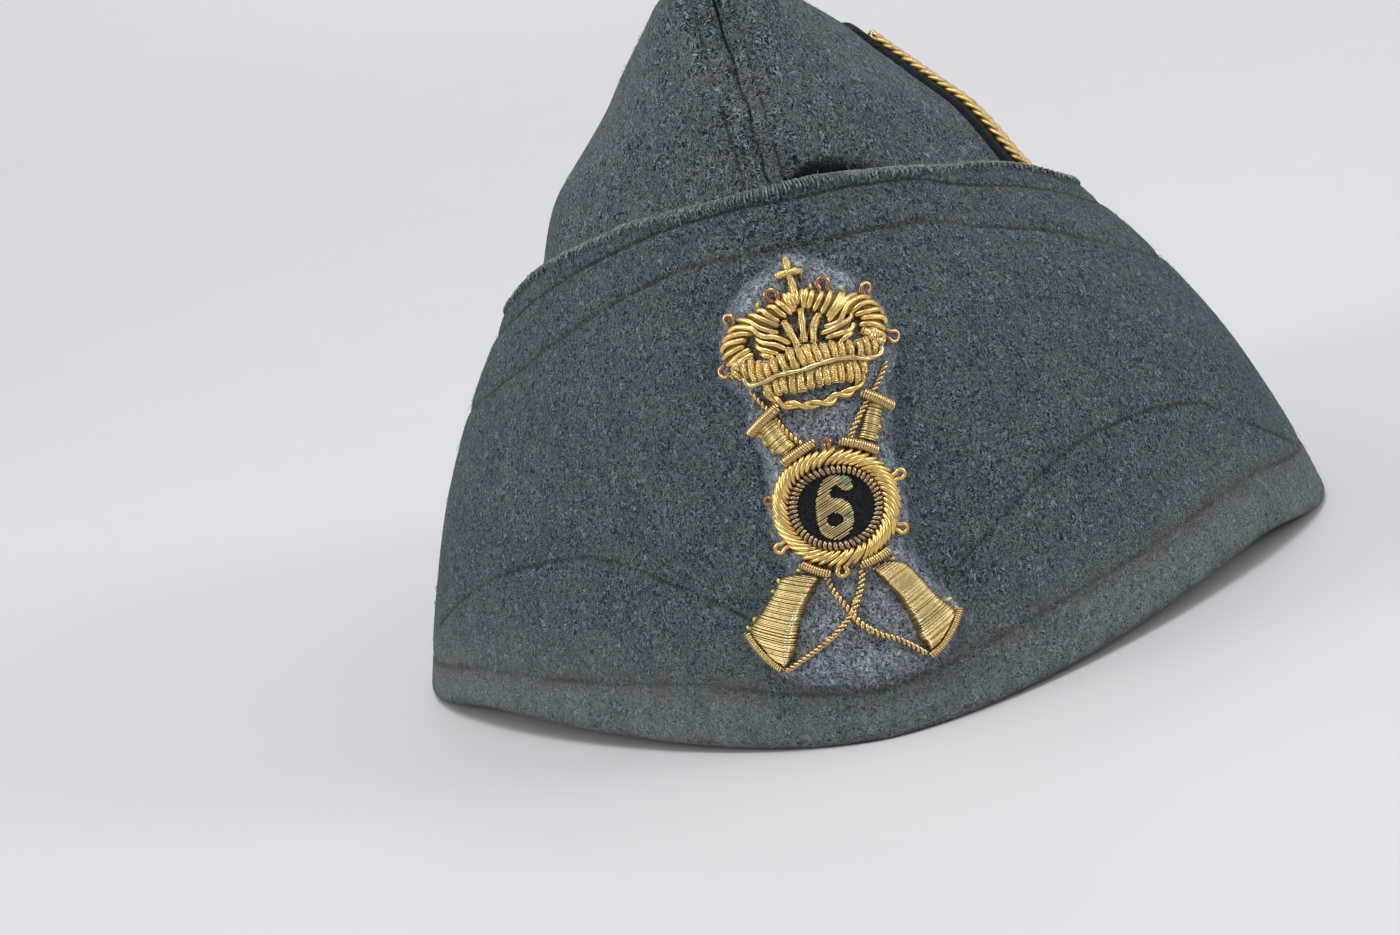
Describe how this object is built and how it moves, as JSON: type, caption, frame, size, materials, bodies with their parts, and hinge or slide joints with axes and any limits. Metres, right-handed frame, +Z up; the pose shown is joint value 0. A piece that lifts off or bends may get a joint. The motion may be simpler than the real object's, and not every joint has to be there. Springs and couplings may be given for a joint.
{
  "type": "garrison cap",
  "caption": "Felted wool side cap: two-panel crown with a sunken top, a tall folded turn-up, an embroidered gold-wire badge in front and a rank strip at the side.",
  "frame": {"origin": "middle of the rim's box, on the surface the rim rests on", "axes": "+Z up through the top of the crown, -Y out of the front where the badge is, +X towards the wearer's left"},
  "size_m": [0.1716, 0.2213, 0.1243],
  "materials": {
    "wool": "felted wool, blue-grey-green melange, matt",
    "wool_turn_up": "felted wool, blue-grey-green melange, matt",
    "felt": "grey-blue felt with light fibres, matt",
    "bullion": "gilt wire bullion, bright satin",
    "wound_thread": "fine gilt thread laid side by side, satin",
    "dark_purl": "tarnished brown purl wire, satin",
    "black_felt": "black felt, matt",
    "black_cloth": "black cloth, matt",
    "lace": "woven gold lace, satin"
  },
  "bodies": {
    "root": {"crown_left": "wool", "crown_right": "wool", "turn_up": "wool_turn_up", "badge_backing": "felt", "crown_cross": "wound_thread", "crown_arch": "bullion", "crown_lobe_left": "bullion", "crown_lobe_right": "bullion", "crown_ray_1": "bullion", "crown_ray_2": "bullion", "crown_ray_3": "bullion", "crown_base": "bullion", "crown_swag": "bullion", "muzzle_band_left": "wound_thread", "rifle_fore_left": "wound_thread", "middle_band_left": "wound_thread", "neck_band_left": "wound_thread", "butt_left": "wound_thread", "butt_plate_left": "wound_thread", "muzzle_band_right": "wound_thread", "rifle_fore_right": "wound_thread", "middle_band_right": "wound_thread", "neck_band_right": "wound_thread", "butt_right": "wound_thread", "butt_plate_right": "wound_thread", "badge_ring": "bullion", "badge_purl_ring": "dark_purl", "badge_disc": "black_felt", "badge_number": "lace", "sling_left": "bullion", "sling_right": "bullion", "rank_backing": "black_cloth", "rank_lace": "lace"}
  },
  "joints": []
}
